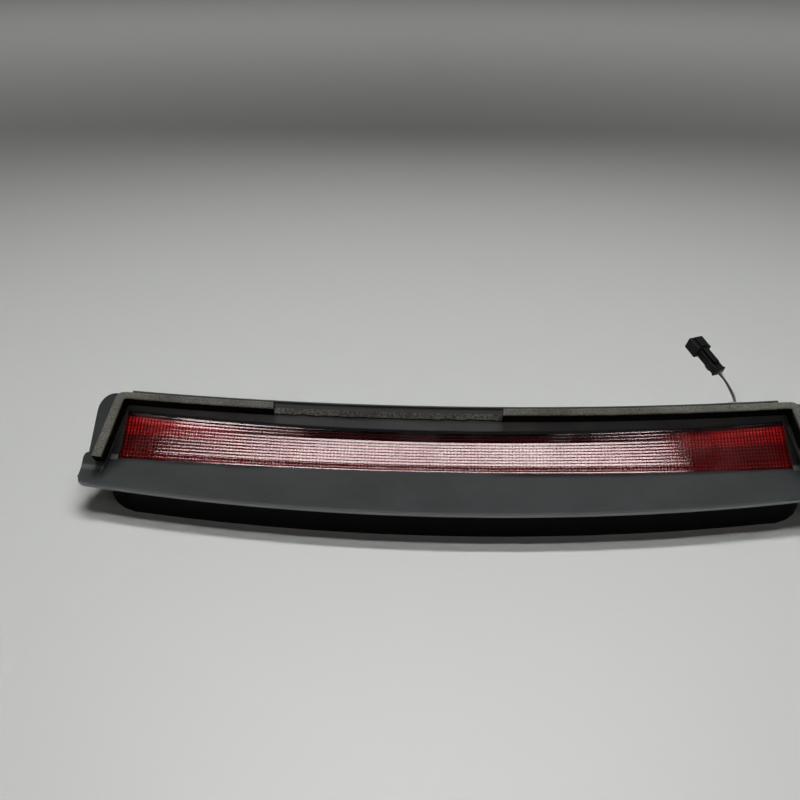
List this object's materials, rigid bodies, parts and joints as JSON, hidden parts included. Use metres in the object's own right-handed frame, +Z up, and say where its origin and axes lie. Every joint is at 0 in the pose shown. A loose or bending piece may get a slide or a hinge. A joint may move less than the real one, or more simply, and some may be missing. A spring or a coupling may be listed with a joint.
{
  "type": "third brake light",
  "caption": "Interior high-mount stop lamp: curved shroud with a foam gasket against the rear glass, recessed red fluted lens, pull-out bulb carrier and a short lead with a plug.",
  "frame": {"origin": "centre of the lamp's footprint at the height of the surface it stands on, measured without the lead and plug", "axes": "+X along the lamp towards the lead's end, -Y the way the lens faces, +Z up"},
  "size_m": [0.508, 0.1777, 0.067],
  "materials": {
    "shroud_plastic": "satin grained charcoal",
    "foam": "matt open foam, dark grey",
    "red_lens": "clear red, fluted both ways",
    "gasket_rubber": "matt black",
    "housing_plastic": "satin black",
    "bright_reflector": "metallised",
    "carrier_plastic": "natural off-white",
    "brass": "plain",
    "bulb_glass": "clear",
    "zinc_steel": "zinc plated",
    "plug_plastic": "satin black",
    "wire_black": "soft insulation, black",
    "wire_light": "soft insulation, pale grey"
  },
  "bodies": {
    "lamp_body": {"shroud": "shroud_plastic", "foam_seal_left": "foam", "foam_seal_right": "foam", "foam_seal_right_corner": "foam", "foam_residue": "foam", "lens": "red_lens", "lens_gasket": "gasket_rubber", "lamp_housing": "housing_plastic", "reflector": "bright_reflector", "housing_screw_1": "zinc_steel", "housing_screw_2": "zinc_steel", "housing_screw_3": "zinc_steel", "housing_screw_4": "zinc_steel", "fixing_bracket_left": "zinc_steel", "fixing_bracket_right": "zinc_steel", "bracket_screw_left": "zinc_steel", "bracket_screw_right": "zinc_steel"},
    "carrier": {"bulb_carrier": "carrier_plastic", "live_rail": "brass", "earth_rail": "brass", "live_terminal": "brass", "earth_terminal": "brass", "bulb_1": "bulb_glass", "bulb_2": "bulb_glass", "bulb_3": "bulb_glass", "bulb_4": "bulb_glass", "bulb_5": "bulb_glass", "wire_live": "wire_black", "wire_earth": "wire_light", "plug_housing": "plug_plastic", "plug_terminal_live": "brass", "plug_terminal_earth": "brass"},
    "latch_left": {"carrier_latch_left": "carrier_plastic"},
    "latch_right": {"carrier_latch_right": "carrier_plastic"},
    "plug_lever": {"plug_latch": "plug_plastic"},
    "plug_lock_slider": {"plug_lock": "plug_plastic"}
  },
  "joints": [
    {"name": "carrier_pull", "type": "slide", "parent": "lamp_body", "child": "carrier", "axis": [0, 1, 0], "range_m": [0, 0.035]},
    {"name": "latch_left_hinge", "type": "hinge", "parent": "carrier", "child": "latch_left", "pos_m": [-0.2133, 0.04577, 0.029], "axis": [0, 0, -1], "range_deg": [0, 8], "stiffness_Nm_per_rad": 0.05},
    {"name": "latch_right_hinge", "type": "hinge", "parent": "carrier", "child": "latch_right", "pos_m": [0.2133, 0.04577, 0.029], "axis": [0, 0, 1], "range_deg": [0, 8], "stiffness_Nm_per_rad": 0.05},
    {"name": "plug_lever_hinge", "type": "hinge", "parent": "carrier", "child": "plug_lever", "pos_m": [0.19859, 0.10588, 0.06139], "axis": [0.9078, 0.4195, 0], "range_deg": [0, 3], "stiffness_Nm_per_rad": 0.02},
    {"name": "plug_lock_slide", "type": "slide", "parent": "carrier", "child": "plug_lock_slider", "axis": [-0.3927, 0.8498, 0.3516], "range_m": [0, 0.0015]}
  ]
}
